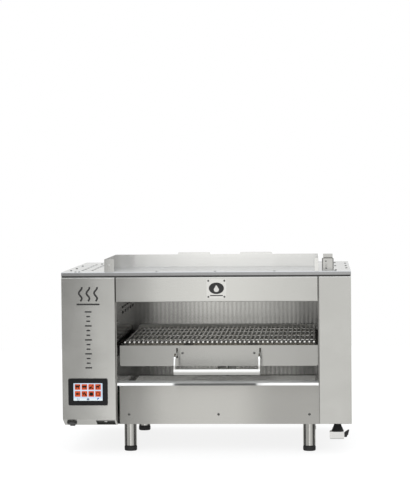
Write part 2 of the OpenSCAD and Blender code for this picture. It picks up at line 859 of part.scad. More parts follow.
module handle_pivot() {
  color(steel) {
    rod_x(pivy, pivz, 4, 38 - arm_gap / 2 - 6, 38 + arm_gap / 2 + 6);
    for (x = [-80, 155])
      difference() {
        box([x - 9, yc + t, pivz - 9], [x + 9, yc + 27, pivz + 9]);
        rod_x(pivy, pivz, 4, x - 10, x + 10);
        rod_y(x, pivz, 2, yc + t - 1, yc + t + 5);
      }
  }
  color([0.5, 0.5, 0.5])
    for (x = [-80, 155])
      front_screw(x, yc, pivz, 3.8);
}

module handle_arms() {
  ry = yf - 20;
  color([0.8, 0.8, 0.8])
    for (x = [-arm_gap / 2, arm_gap / 2])
      translate([38 + x, 0, 0])
        difference() {
          union() {
            box([-2.5, ry, pivz - 6], [2.5, pivy, pivz + 6]);
            rod_x(pivy, pivz, 8, -2.5, 2.5);
            box([-2.5, bary - 6, barz], [2.5, bary + 6, pivz - 40]);
            intersection() {
              difference() {
                rod_x(ry, pivz - 40, 46, -2.5, 2.5);
                rod_x(ry, pivz - 40, 34, -3.5, 3.5);
              }
              box([-4, ry - 60, pivz - 40], [4, ry, pivz + 20]);
            }
          }
          rod_x(pivy, pivz, 4.06, -3.5, 3.5);
          rod_x(bary, barz, bar_d / 2, -3.5, 3.5);
        }
}

module handle_bar() {
  color([0.88, 0.88, 0.87])
    rod_x(bary, barz, bar_d / 2, 38 - arm_gap / 2 - 2.5, 38 + arm_gap / 2 + 2.5);
}

module wire_grate() {
  x0 = sxm - (rod_n - 1) / 2 * rod_pitch;
  y0 = yf + 64;
  y1 = sy1 - t - 1;
  a = asin(grate_rise / (y1 - y0));
  color([0.5, 0.5, 0.48])
    translate([0, y0, rz])
      rotate([a, 0, 0]) {
        for (i = [0:rod_n - 1])
          rod_y(x0 + i * rod_pitch, 0, rod_d / 2, 0, y1 - y0);
        for (d = [118, 265, 393, 499])
          rod_x(d, -5, rod_d / 2, sx0, sx1);
      }
}

// ---- electrics ----

module display_bezel() {
  color(dark) difference() {
    round_plate(disp_x - 64.5, disp_x + 64.5, disp_z - 44, disp_z + 44, yf - 3, yf, 5);
    box([disp_x - 51, yf - 4, disp_z - 32], [disp_x + 51, yf + 1, disp_z + 32]);
  }
}

module display_glass() {
  color([0.75, 0.85, 0.95])
    box([disp_x - 51, yf - 2.4, disp_z - 32], [disp_x + 51, yf, disp_z + 32]);
}

module display_module() {
  color([0.15, 0.3, 0.2]) {
    box([disp_x - 55, yf, disp_z - 35], [disp_x + 55, yf + 16, disp_z + 35]);
    box([disp_x - 40, yf + 16, disp_z - 25], [disp_x + 40, yf + 24, disp_z + 25]);
  }
}

module control_unit() {
  color([0.12, 0.35, 0.2])
    box([xl + 12, -60, 150], [xl + 14, 120, 330]);
  color(steel)
    for (y = [-50, 110], z = [160, 320])
      rod_x(y, z, 3, xl + t, xl + 12);
  color([0.2, 0.2, 0.2]) {
    box([xl + 14, -30, 230], [xl + 34, 10, 270]);
    box([xl + 14, 40, 180], [xl + 26, 100, 290]);
  }
  color([0.7, 0.7, 0.7])
    box([-420, 150, zb + t], [-330, 270, 150]);
}

module fan_housing() {
  y0 = yb - t - 25;
  color([0.12, 0.12, 0.12]) {
    difference() {
      round_plate(fan_x - 46, fan_x + 46, fan_z - 46, fan_z + 46, y0, yb - t, 5);
      rod_y(fan_x, fan_z, 43, y0 - 1, yb);
    }
    difference() {
      union() {
        for (a = [0:3])
          translate([fan_x, y0 + 1.5, fan_z])
            rotate([0, 45 + a * 90, 0])
              translate([10, -1.5, -3])
                cube([34.5, 3, 6]);
        rod_y(fan_x, fan_z, 14, y0, y0 + 3);
      }
      rod_y(fan_x, fan_z, 2.56, y0 - 1, y0 + 4);
    }
  }
}

module fan_rotor() {
  y0 = yb - t - 25;
  color([0.18, 0.18, 0.18]) {
    rod_y(fan_x, fan_z, 17, y0 + 4, y0 + 22);
    rod_y(fan_x, fan_z, 2.5, y0 + 0.5, y0 + 4);
    for (a = [0:6])
      translate([fan_x, y0 + 13, fan_z])
        rotate([0, a * 360 / 7, 0])
          translate([15, 0, 0])
            rotate([38, 0, 0])
              translate([0, -8, -1])
                cube([25.5, 16, 2]);
  }
}

// Screw cap's seat, its hinge ears and pin, and the recessed pull beside it
module service_port() {
  color(dark) on_slope(port_x, port_at) {
    difference() {
      union() {
        cylinder(r = 16.5, h = 3.5);
        for (x = [-8, 5])
          translate([x, -22, 0])
            cube([3, 6.8, 7]);
      }
      translate([0, 0, -1])
        cylinder(r = 9, h = 7);
    }
    rod_x(-19.5, 5, 1.2, -8, 8);
    difference() {
      translate([0, 0, -16])
        cylinder(r = 12, h = 16);
      translate([0, 0, -12])
        cylinder(r = 9, h = 13);
    }
  }
  color([0.2, 0.2, 0.2]) on_slope(pocket_x, pocket_at) {
    difference() {
      translate([-31, -24, -8])
        cube([62, 44, 8]);
      translate([-29.5, -22.5, -6.5])
        cube([59, 41, 8]);
    }
    translate([0, -2, -6.5])
      cylinder(r = 4.5, h = 4);
  }
}

// Closed at rest; opens about a pin at the port's rear edge
module service_cap() {
  color([0.14, 0.14, 0.15]) on_slope(port_x, port_at) difference() {
    union() {
      translate([0, 0, 3.8])
        cylinder(r = 15, h = 2.5);
      translate([0, 0, 1])
        cylinder(r = 7.5, h = 2.9);
      translate([-4.5, -20, 3.8])
        cube([9, 8, 2.5]);
      rod_x(-19.5, 5, 2.2, -4.5, 4.5);
    }
    rod_x(-19.5, 5, 1.26, -5, 5);
  }
}

base_pan();
rear_panel();
left_side_panel();
right_side_panel();
left_front_cover();
right_front_cover();
top_cover();
front_rail();
heat_guard();
top_duct();
top_screws();
front_fascia();
badge_plate();
lower_front_panel();
front_lip();
panel_screws();
cavity_left_wall();
cavity_right_wall();
cavity_rear_wall();
cavity_roof();
pan_ledges();
fat_pan();
burner_boxes();
burner_plates();
burner_screens();
insulation_board();
igniter();
gas_manifold();
injectors();
gas_valve();
inlet_pipe();
shutoff_boot();
shutoff_body();
shutoff_lever();
leg_tubes();
foot_front_left();
foot_front_right();
foot_rear_left();
foot_rear_right();
guide_rods();
bearing_bracket();
gear_motor();
lead_screw();
lift_block();
lift_frame();
carriage_frame();
carriage_front();
slide_bars();
handle_pivot();
handle_arms();
handle_bar();
wire_grate();
display_bezel();
display_glass();
display_module();
control_unit();
fan_housing();
fan_rotor();
service_port();
service_cap();
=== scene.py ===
import math

import bmesh
import bpy
from mathutils import Matrix, Vector

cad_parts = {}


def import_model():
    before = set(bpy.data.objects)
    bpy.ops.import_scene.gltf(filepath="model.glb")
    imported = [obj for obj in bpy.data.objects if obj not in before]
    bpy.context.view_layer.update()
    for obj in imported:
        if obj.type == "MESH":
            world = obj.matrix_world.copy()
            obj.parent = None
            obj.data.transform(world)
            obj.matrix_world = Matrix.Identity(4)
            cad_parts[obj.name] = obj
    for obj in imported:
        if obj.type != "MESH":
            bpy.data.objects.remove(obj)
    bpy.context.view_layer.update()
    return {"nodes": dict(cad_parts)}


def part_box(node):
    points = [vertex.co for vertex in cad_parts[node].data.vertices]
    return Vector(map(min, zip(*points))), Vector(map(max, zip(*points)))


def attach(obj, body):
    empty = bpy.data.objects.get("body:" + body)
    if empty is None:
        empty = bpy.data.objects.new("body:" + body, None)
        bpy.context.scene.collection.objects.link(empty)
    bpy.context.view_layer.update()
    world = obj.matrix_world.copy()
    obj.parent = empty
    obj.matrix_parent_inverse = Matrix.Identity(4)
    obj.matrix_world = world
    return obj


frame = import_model()
NODES = frame["nodes"]
scene = bpy.context.scene
scene.view_settings.view_transform = "Standard"
scene.view_settings.look = "None"


# ---------------------------------------------------------------- node helpers
def material(name):
    m = bpy.data.materials.new(name)
    m.use_nodes = True
    nt = m.node_tree
    nt.nodes.clear()
    out = nt.nodes.new("ShaderNodeOutputMaterial")
    bs = nt.nodes.new("ShaderNodeBsdfPrincipled")
    nt.links.new(bs.outputs[0], out.inputs[0])
    return m, nt, bs


def put(nt, socket, value):
    """Links an output to the socket, or sets the socket's own value."""
    if isinstance(value, bpy.types.NodeSocket):
        nt.links.new(value, socket)
    else:
        socket.default_value = value


def node(nt, kind, **sockets):
    n = nt.nodes.new(kind)
    for k, v in sockets.items():
        put(nt, n.inputs[k.replace("_", " ")], v)
    return n


def coordinate(nt, axis, space="Object"):
    tc = nt.nodes.new("ShaderNodeTexCoord")
    return node(nt, "ShaderNodeSeparateXYZ", Vector=tc.outputs[space]).outputs[axis]


def noise(nt, stretch, detail=3.0, rough=0.55, distort=0.0):
    """Noise with the given number of cells a metre along each axis."""
    tc = nt.nodes.new("ShaderNodeTexCoord")
    mp = node(nt, "ShaderNodeMapping", Vector=tc.outputs["Object"], Scale=stretch)
    nz = node(nt, "ShaderNodeTexNoise", Vector=mp.outputs[0], Scale=1.0, Detail=detail, Roughness=rough,
              Distortion=distort)
    return nz.outputs[0]


def even(nt, cells, detail=3.0, rough=0.55, distort=0.0):
    """Noise of the same size along every axis."""
    return noise(nt, (cells, cells, cells), detail, rough, distort)


def remap(nt, src, lo, hi, a=0.25, b=0.75):
    """Values a to b of the source, taken to lo to hi."""
    return node(nt, "ShaderNodeMapRange", Value=src, From_Min=a, From_Max=b, To_Min=lo, To_Max=hi).outputs[0]


def calc(nt, operation, a, b=None):
    n = nt.nodes.new("ShaderNodeMath")
    n.operation = operation
    put(nt, n.inputs[0], a)
    if b is not None:
        put(nt, n.inputs[1], b)
    return n.outputs[0]


def mix(nt, fac, a, b, blend="MIX"):
    """Colour a where fac is 0 and b where it is 1. Each is a colour or an output."""
    n = nt.nodes.new("ShaderNodeMix")
    n.data_type = "RGBA"
    n.blend_type = blend
    put(nt, n.inputs[0], fac)
    for socket, colour in ((n.inputs[6], a), (n.inputs[7], b)):
        put(nt, socket, (*colour, 1) if isinstance(colour, tuple) else colour)
    return n.outputs[2]


def times(nt, a, b):
    return mix(nt, 1.0, a, b, "MULTIPLY")


def bump(nt, bs, src, strength, dist):
    n = node(nt, "ShaderNodeBump", Strength=strength, Distance=dist, Height=src)
    nt.links.new(n.outputs[0], bs.inputs["Normal"])


def along(nt, axis, stops):
    """A tone that changes along one axis of the object, from (metres, tone) pairs."""
    lo, hi = stops[0][0], stops[-1][0]
    ramp = nt.nodes.new("ShaderNodeValToRGB")
    ramp.color_ramp.interpolation = "EASE"
    nt.links.new(remap(nt, coordinate(nt, axis), 0.0, 1.0, lo, hi), ramp.inputs[0])
    elements = ramp.color_ramp.elements
    while len(elements) < len(stops):
        elements.new(0.5)
    # All the places first, because a stop that moves past another takes its number
    for e, (at, _) in zip(elements, stops):
        e.position = (at - lo) / (hi - lo)
    for e, (_, tone) in zip(elements, stops):
        e.color = (tone, tone, tone, 1)
    return ramp.outputs[0]


def painted_rod_stripes(nt, pitch, depth):
    """Fine upright stripes with the given pitch in metres, as a painted reflection of rods."""
    wave = calc(nt, "SINE", calc(nt, "MULTIPLY", coordinate(nt, "X"), 2 * math.pi / pitch))
    return mix(nt, remap(nt, wave, 0, 1, -1, 1), (1 - depth,) * 3, (1, 1, 1))


# ---------------------------------------------------------------- materials
# Grain lines about 0.4 mm apart and 60 mm long, drawn along one axis
ACROSS_GRAIN, ALONG_GRAIN = 2400.0, 16.0
GRAIN = {"x": (ALONG_GRAIN, ACROSS_GRAIN, ACROSS_GRAIN),
         "y": (ACROSS_GRAIN, ALONG_GRAIN, ACROSS_GRAIN),
         "z": (ACROSS_GRAIN, ACROSS_GRAIN, ALONG_GRAIN)}
HANDLING_MARKS = 7.0
# The part of a noise's range that most of its values lie in
MOST = (0.35, 0.65)
# Bump distances in metres
GRAIN_DEPTH, SPARK_DEPTH, PORE_DEPTH, SOLDER_DEPTH = 0.0001, 0.0003, 0.0008, 0.001


def steel(name, col, rough, grain="x", grain_bump=0.25, tone=0.05, spread=0.07, drawn=0.0, painted_shading=(),
          stripes=None, metal=1.0):
    """Brushed stainless sheet: fine drawn grain, soft handling marks, slight random tone changes and painted
    light and shade.

    The painted light and shade is (axis, stops), or (axis, stops, axis, stops) with a mask as its second
    half."""
    m, nt, bs = material(name)
    bs.inputs["Metallic"].default_value = metal
    if drawn:
        # The grain runs along X, so the reflection stretches across it, on fronts and on tops
        bs.inputs["Anisotropic"].default_value = drawn
        tangent = node(nt, "ShaderNodeCombineXYZ", Y=0.6, Z=0.8)
        nt.links.new(tangent.outputs[0], bs.inputs["Tangent"])
    fine = noise(nt, GRAIN[grain], 4.0, 0.6)
    marks = even(nt, HANDLING_MARKS, 3.0, 0.5, 0.6)
    both = calc(nt, "MULTIPLY", calc(nt, "ADD", fine, marks), 0.5)
    lo = tuple(max(0.0, c * (1 - tone)) for c in col)
    hi = tuple(min(1.0, c * (1 + tone)) for c in col)
    base = mix(nt, remap(nt, both, 0, 1, *MOST), lo, hi)
    # Painted light and shade: the base colour darkened along the object's axes where the light falls off
    for axis, stops, *mask in painted_shading:
        there = along(nt, axis, stops)
        if mask:
            there = mix(nt, along(nt, *mask), (1, 1, 1), there)
        base = times(nt, base, there)
    # Painted reflection of rods, as upright darker stripes
    if stripes:
        base = times(nt, base, painted_rod_stripes(nt, *stripes))
    nt.links.new(base, bs.inputs["Base Color"])
    nt.links.new(remap(nt, both, rough - spread, rough + spread, *MOST), bs.inputs["Roughness"])
    bump(nt, bs, fine, grain_bump, GRAIN_DEPTH)
    return m


def plastic(name, col, rough, grainy=900.0, strength=0.15, shine=0.5):
    """Moulded plastic or rubber with a fine spark-eroded texture."""
    m, nt, bs = material(name)
    g = even(nt, grainy, 2.0)
    c = even(nt, 18.0, 2.0)
    paler = tuple(min(1.0, v * 1.35 + 0.004) for v in col)
    nt.links.new(mix(nt, remap(nt, c, 0, 1), col, paler), bs.inputs["Base Color"])
    nt.links.new(remap(nt, g, rough - 0.06, rough + 0.06), bs.inputs["Roughness"])
    bs.inputs["Specular IOR Level"].default_value = shine
    bump(nt, bs, g, strength, SPARK_DEPTH)
    return m


def glowing(name, col, lo, hi, strength, scale=220.0):
    """A lit area of the display, with the slight unevenness of its backlight."""
    m, nt, bs = material(name)
    dim = tuple(v * lo for v in col)
    full = tuple(min(1.0, v * hi) for v in col)
    nt.links.new(mix(nt, remap(nt, even(nt, scale, 1.0), 0, 1), dim, full), bs.inputs["Emission Color"])
    bs.inputs["Base Color"].default_value = (0.01, 0.01, 0.01, 1)
    bs.inputs["Emission Strength"].default_value = strength
    bs.inputs["Roughness"].default_value = 0.3
    bs.inputs["Specular IOR Level"].default_value = 0.15
    return m


def ceramic(name, col):
    """Porous burner plate with a field of flame holes."""
    m, nt, bs = material(name)
    tc = nt.nodes.new("ShaderNodeTexCoord")
    holes = node(nt, "ShaderNodeTexVoronoi", Vector=tc.outputs["Object"], Scale=260.0, Randomness=0.1)
    # The flame holes are dark spots of painted shade, with a bump but no real depth
    f = remap(nt, holes.outputs["Distance"], 0, 1, 0.15, 0.4)
    nt.links.new(mix(nt, f, tuple(c * 0.35 for c in col), col), bs.inputs["Base Color"])
    bs.inputs["Roughness"].default_value = 0.85
    bump(nt, bs, f, 0.5, PORE_DEPTH)
    return m


def board(name):
    """A lacquered circuit board."""
    m, nt, bs = material(name)
    c = even(nt, 120.0, 4.0)
    green = mix(nt, remap(nt, c, 0, 1), (0.01, 0.06, 0.03), (0.03, 0.16, 0.07))
    nt.links.new(green, bs.inputs["Base Color"])
    nt.links.new(remap(nt, c, 0.3, 0.55), bs.inputs["Roughness"])
    bump(nt, bs, c, 0.4, SOLDER_DEPTH)
    return m


# Slow changes of tone over the drawn sheets, which are painted light and shade: each sheet darker where the
# light falls off it
FASCIA_PAINTED_SHADING = (("X", ((-0.30, 0.70), (-0.25, 0.78), (-0.13, 1.0), (0.07, 1.0), (0.32, 0.95), (0.47, 1.0))),)
# Painted shade on the left column: darker at its outer edge and towards the top
COLUMN_PAINTED_SHADING = (("X", ((-0.47, 0.80), (-0.42, 0.84), (-0.33, 1.0), (-0.296, 1.0))),
               ("Z", ((0.10, 1.0), (0.33, 0.92), (0.55, 0.80))))
LOWER_PAINTED_SHADING = (("X", ((-0.29, 0.66), (-0.245, 0.72), (-0.135, 1.0), (0.077, 0.94), (0.224, 0.73),
                     (0.36, 0.78))),)
CARRIAGE_PAINTED_SHADING = (("X", ((-0.29, 0.84), (-0.24, 0.88), (0.03, 1.0), (0.36, 0.94))),)
# Painted shade on the rear wall: darker at both sides and high up under the roof
REAR_PAINTED_SHADING = (("X", ((-0.29, 0.28), (-0.255, 0.38), (-0.174, 0.70), (-0.02, 1.0), (0.146, 0.94), (0.26, 0.72),
                    (0.32, 0.46))),
             ("Z", ((0.09, 1.0), (0.31, 1.0), (0.38, 0.62), (0.58, 0.62))))
# Painted shade on the guard: darker towards its left end, where its left wall's inner face is in shade
GUARD_PAINTED_SHADING = (("X", ((-0.33, 0.75), (-0.30, 0.88), (-0.15, 0.95), (0.07, 0.96), (0.37, 1.0))),)
# The lip is darker in the middle, between the handle's arms, as a painted reflection of the handle, but not
# on its upper side, which the mask along Z leaves out
LIP_PAINTED_REFLECTION = (("X", ((-0.29, 1.0), (-0.114, 1.0), (-0.099, 0.15), (0.156, 0.15), (0.171, 1.0), (0.36, 1.0)),
             "Z", ((0.20, 1.0), (0.2320, 1.0), (0.2327, 0.0), (0.24, 0.0))),)
# Pitch of the grate's rods, and how much darker the stripes between them are, in the painted reflection of
# the rods on the rear wall
PAINTED_ROD_REFLECTION = (0.0151, 0.2)

# The drawn sheets are copies of one brushed steel, lit and shaded through their base tones as painted light
# and shade: the column paler than the fascia, the lower panel and top darker, the rear wall and lip nearly
# white beside the dark cavity walls
M = {
    "front": steel("front_steel", (0.61, 0.607, 0.588), 0.20, "x", 0.12, spread=0.03, drawn=1.0,
                   painted_shading=FASCIA_PAINTED_SHADING),
    "column": steel("column_steel", (0.80, 0.796, 0.77), 0.20, "x", 0.12, spread=0.03, drawn=1.0,
                    painted_shading=COLUMN_PAINTED_SHADING),
    "badge": steel("badge_steel", (0.68, 0.677, 0.66), 0.20, "x", 0.1, spread=0.03, drawn=1.0),
    "panel": steel("panel_steel", (0.54, 0.535, 0.515), 0.20, "x", 0.12, spread=0.03, drawn=1.0,
                   painted_shading=LOWER_PAINTED_SHADING),
    "side": steel("side_steel", (0.66, 0.658, 0.64), 0.30, "z", 0.15, 0.03, 0.03),
    "top": steel("top_steel", (0.43, 0.434, 0.443), 0.22, "x", 0.12),
    "guard": steel("guard_steel", (0.86, 0.858, 0.845), 0.18, "x", 0.1, spread=0.03, drawn=1.0,
                   painted_shading=GUARD_PAINTED_SHADING),
    "duct": steel("duct_steel", (0.62, 0.618, 0.605), 0.16, "x", 0.1, spread=0.03),
    # Nearly black, as painted shade: the front rail shows only in the shadow gap under the top cover
    "rail": steel("rail_steel", (0.10, 0.10, 0.098), 0.45, "x"),
    "bright": steel("bright_steel", (0.74, 0.74, 0.73), 0.16, "x", 0.08, 0.03, 0.04),
    "wall": steel("wall_steel", (0.36, 0.355, 0.34), 0.12, "y", 0.06, spread=0.03),
    "rear": steel("rear_steel", (0.96, 0.95, 0.925), 0.15, "x", 0.01, spread=0.02, drawn=1.0,
                  painted_shading=REAR_PAINTED_SHADING, stripes=PAINTED_ROD_REFLECTION),
    "carriage": steel("carriage_steel", (0.45, 0.448, 0.433), 0.22, "x", 0.08, spread=0.03, drawn=0.95,
                      painted_shading=CARRIAGE_PAINTED_SHADING),
    "lip": steel("lip_steel", (0.95, 0.95, 0.94), 0.20, "x", 0.08, spread=0.03, painted_shading=LIP_PAINTED_REFLECTION, metal=0.25),
    "inner": steel("inner_steel", (0.42, 0.415, 0.40), 0.4, "y"),
    "rod": steel("rod_steel", (0.93, 0.925, 0.91), 0.2, "y", 0.06),
    "pan": steel("pan_steel", (0.90, 0.895, 0.88), 0.22, "x", 0.12),
    "screw": steel("screw_steel", (0.16, 0.16, 0.155), 0.30, "z", 0.1),
    "leg": steel("leg_steel", (0.78, 0.775, 0.75), 0.20, "z", 0.1),
    "heat": steel("heat_tinted_steel", (0.34, 0.30, 0.26), 0.42, "x", 0.2, 0.2),
    "brass": steel("brass", (0.72, 0.52, 0.24), 0.3, "x", 0.1, 0.1),
    "chrome": steel("chrome", (0.80, 0.80, 0.80), 0.12, "x", 0.05, 0.04, 0.04),
    "black": plastic("black_plastic", (0.012, 0.012, 0.013), 0.45),
    "rubber": plastic("black_rubber", (0.010, 0.010, 0.010), 0.6),
    "bezel": plastic("bezel_plastic", (0.008, 0.008, 0.009), 0.30, 500.0, 0.04, 0.25),
    "paint": plastic("motor_paint", (0.03, 0.03, 0.035), 0.4, 300.0, 0.2),
    "grey": plastic("grey_plastic", (0.045, 0.046, 0.042), 0.5, 500.0, 0.1),
    "ink": plastic("dark_ink", (0.018, 0.018, 0.018), 0.5, 600.0, 0.05),
    "ceramic": ceramic("burner_ceramic", (0.75, 0.68, 0.55)),
    "fibre": plastic("fibre_board", (0.62, 0.60, 0.54), 0.9, 150.0, 0.8),
    "pcb": board("circuit_board"),
    "lit": glowing("lit_ground", (0.60, 0.73, 0.88), 0.9, 1.08, 1.0, 25.0),
    "bar": glowing("lit_bar", (0.80, 0.90, 0.95), 0.95, 1.03, 1.0, 60.0),
    "tile": glowing("lit_tile", (0.64, 0.088, 0.018), 0.85, 1.15, 1.0, 60.0),
    "icon": glowing("lit_icon", (0.012, 0.004, 0.003), 0.8, 1.1, 0.4),
    "blue": glowing("lit_blue", (0.04, 0.11, 0.42), 0.8, 1.1, 1.0),
    "slate": glowing("lit_slate", (0.16, 0.20, 0.30), 0.8, 1.1, 1.0),
}

LOOK = {
    "front": "right_front_cover front_fascia",
    "column": "left_front_cover",
    "badge": "badge_plate",
    "panel": "lower_front_panel base_pan",
    "side": "left_side_panel right_side_panel rear_panel",
    "top": "top_cover",
    "guard": "heat_guard",
    "duct": "top_duct",
    "rail": "front_rail lift_frame",
    "lip": "front_lip",
    "bright": "handle_bar handle_arms lead_screw guide_rods",
    "wall": "cavity_left_wall cavity_right_wall pan_ledges",
    "rear": "cavity_rear_wall",
    "heat": "cavity_roof burner_screens burner_boxes",
    "carriage": "carriage_front lift_block",
    "inner": "carriage_frame slide_bars bearing_bracket",
    "rod": "wire_grate",
    "pan": "fat_pan",
    "screw": "top_screws panel_screws handle_pivot",
    "leg": "leg_tubes",
    "brass": "gas_manifold injectors inlet_pipe",
    "chrome": "shutoff_body gas_valve",
    "black": "shutoff_lever fan_housing fan_rotor service_cap",
    "grey": "service_port",
    "rubber": "shutoff_boot foot_front_left foot_front_right foot_rear_left foot_rear_right",
    "bezel": "display_bezel display_glass",
    "paint": "gear_motor",
    "ceramic": "burner_plates igniter",
    "fibre": "insulation_board",
    "pcb": "control_unit display_module",
}


def paint(ob, mat):
    if not ob.material_slots:
        ob.data.materials.append(mat)
    for s in ob.material_slots:
        s.material = mat


for look, names in LOOK.items():
    for n in names.split():
        paint(NODES[n], M[look])

# Folded and deburred sheet edges, by the width of their bevel
SOFT = {
    0.0006: "left_front_cover right_front_cover front_fascia lower_front_panel top_cover heat_guard "
    "left_side_panel right_side_panel rear_panel carriage_front front_lip top_duct",
    0.0004: "display_bezel badge_plate gas_valve shutoff_body",
}
for width, names in SOFT.items():
    for n in names.split():
        b = NODES[n].modifiers.new("edges", "BEVEL")
        b.width = width
        b.segments = 2
        b.limit_method = "ANGLE"
        b.angle_limit = math.radians(40)
        b.harden_normals = False


# ---------------------------------------------------------------- shapes
def piece(name, bm, mat, body="casing", smooth=False):
    me = bpy.data.meshes.new(name)
    bmesh.ops.recalc_face_normals(bm, faces=bm.faces)
    bm.to_mesh(me)
    bm.free()
    ob = bpy.data.objects.new(name, me)
    scene.collection.objects.link(ob)
    me.materials.append(mat)
    for p in me.polygons:
        p.use_smooth = smooth
    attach(ob, body)
    return ob


def turns(n):
    """n angles all the way round, in radians."""
    return [2 * math.pi * i / n for i in range(n)]


def plate(bm, pts, y0, y1):
    """A closed plate with the outline pts in X and Z, from y0 to y1."""
    a = [bm.verts.new((x, y0, z)) for x, z in pts]
    b = [bm.verts.new((x, y1, z)) for x, z in pts]
    bm.faces.new(a)
    bm.faces.new(list(reversed(b)))
    n = len(pts)
    for i in range(n):
        j = (i + 1) % n
        bm.faces.new((a[j], a[i], b[i], b[j]))


def rounded(x0, x1, z0, z1, r, n=5):
    """A rectangle with corners of radius r."""
    pts = []
    corners = ((x1 - r, z1 - r, 0), (x0 + r, z1 - r, 90), (x0 + r, z0 + r, 180), (x1 - r, z0 + r, 270))
    for cx, cz, s in corners:
        for i in range(n + 1):
            a = math.radians(s + 90 * i / n)
            pts.append((cx + r * math.cos(a), cz + r * math.sin(a)))
    return pts


def band(path, w):
    """The outline of a line of width w along path."""
    lo, hi = [], []
    for i, p in enumerate(path):
        after = path[min(i + 1, len(path) - 1)]
        before = path[max(i - 1, 0)]
        d = Vector((after[0] - before[0], after[1] - before[1])).normalized()
        lo.append((p[0] - d.y * w / 2, p[1] + d.x * w / 2))
        hi.append((p[0] + d.y * w / 2, p[1] - d.x * w / 2))
    return lo + hi[::-1]


def disc(cx, cz, rx, rz=None, turn=0.0, n=20):
    """An ellipse turned by turn degrees."""
    k = math.radians(turn)
    pts = []
    for a in turns(n):
        x, z = rx * math.cos(a), (rz or rx) * math.sin(a)
        pts.append((cx + x * math.cos(k) - z * math.sin(k), cz + x * math.sin(k) + z * math.cos(k)))
    return pts


def middle(box):
    return [(lo + hi) / 2 for lo, hi in zip(*box)]


# ---------------------------------------------------------------- display
# Lit ground, eight tiles with food pictograms, and a bar with three signs
SCREEN_HALF_W, SCREEN_HALF_H, SCREEN_CORNER = 0.0475, 0.0285, 0.0015
SCREEN_BAR_TOP, SIGNS_DOWN = 0.0212, 0.0236
# How far each layer stands in front of the glass
GROUND_OUT, BAR_OUT, TILE_OUT, SIGN_OUT, ICON_OUT, ICON_STEP = 0.0003, 0.0004, 0.0005, 0.0006, 0.0007, 0.00002
TILE, TILE_CORNER, TILE_PITCH_X, TILE_PITCH_Z = 0.0186, 0.0018, 0.0223, 0.0227
TILES_LEFT, TILES_UP = 0.0005, 0.0163
ICON_HALF_W, ICON_HALF_H = 0.0090, 0.0096

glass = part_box("display_glass")
gx, _, gz = middle(glass)
gy = glass[0][1]
bm = bmesh.new()
ground = rounded(gx - SCREEN_HALF_W, gx + SCREEN_HALF_W, gz - SCREEN_HALF_H, gz + SCREEN_HALF_H,
                 SCREEN_CORNER)
plate(bm, ground, gy - GROUND_OUT, gy)
piece("screen_ground", bm, M["lit"])
bm = bmesh.new()
strip = rounded(gx - SCREEN_HALF_W, gx + SCREEN_HALF_W, gz - SCREEN_HALF_H, gz - SCREEN_BAR_TOP,
                SCREEN_CORNER)
plate(bm, strip, gy - BAR_OUT, gy - GROUND_OUT)
piece("screen_bar", bm, M["bar"])

# Outlines in a box from -1 to 1
COW = [(-0.85, 0.5), (-0.5, 0.55), (0.4, 0.5), (0.6, 0.7), (0.9, 0.5), (0.85, 0.25), (0.6, 0.15), (0.5, -0.1),
       (0.45, -0.65), (0.25, -0.65), (0.2, -0.15), (-0.4, -0.15), (-0.45, -0.65), (-0.65, -0.65), (-0.7, 0.1)]
PIG = [(-0.85, 0.2), (-0.6, 0.45), (0.35, 0.45), (0.6, 0.5), (0.9, 0.15), (0.75, 0.0), (0.5, -0.15),
       (0.45, -0.5), (0.25, -0.5), (0.2, -0.2), (-0.4, -0.2), (-0.45, -0.5), (-0.65, -0.5), (-0.7, -0.1)]
GOAT = [(-0.75, 0.3), (-0.5, 0.4), (0.2, 0.35), (0.4, 0.8), (0.55, 0.75), (0.8, 0.5), (0.5, 0.35),
        (0.4, -0.05), (0.4, -0.65), (0.25, -0.65), (0.15, -0.15), (-0.35, -0.15), (-0.45, -0.65),
        (-0.6, -0.65), (-0.65, 0.0)]
TAIL = [(0.45, 0.0), (0.9, 0.35), (0.9, -0.35)]
BEADS = [math.radians(90 + k * 36) for k in range(10)]
PICTOGRAMS = (
    [COW],
    [PIG],
    [disc(-0.3, -0.3, 0.5, 0.36, 20), band([(0.0, 0.0), (0.7, 0.75)], 0.22),
     disc(0.5, -0.45, 0.36, 0.2, -30)],
    [GOAT],
    [disc(-0.1, 0.0, 0.62, 0.3), TAIL],
    [disc(-0.45, 0.1, 0.2, 0.5, 35), disc(0.1, 0.2, 0.22, 0.55, 35), disc(0.45, -0.3, 0.25, 0.45, 35)],
    [disc(0.0, -0.2, 0.75, 0.45), rounded(-0.6, 0.6, 0.1, 0.5, 0.15)],
    [disc(0.68 * math.cos(a), 0.62 * math.sin(a), 0.16) for a in BEADS],
)
tiles = bmesh.new()
icons = bmesh.new()
for k, shapes in enumerate(PICTOGRAMS):
    tx = gx + (k % 4 - 1.5) * TILE_PITCH_X - TILES_LEFT
    tz = gz + TILES_UP - k // 4 * TILE_PITCH_Z
    edge = rounded(tx - TILE / 2, tx + TILE / 2, tz - TILE / 2, tz + TILE / 2, TILE_CORNER, 3)
    plate(tiles, edge, gy - TILE_OUT, gy - GROUND_OUT)
    for n, shape in enumerate(shapes):
        pts = [(tx + ICON_HALF_W * x, tz + ICON_HALF_H * z) for x, z in shape]
        # Shapes that overlap stand a hair apart
        plate(icons, pts, gy - ICON_OUT - ICON_STEP * n, gy - TILE_OUT)
piece("screen_tiles", tiles, M["tile"])
piece("screen_icons", icons, M["icon"])

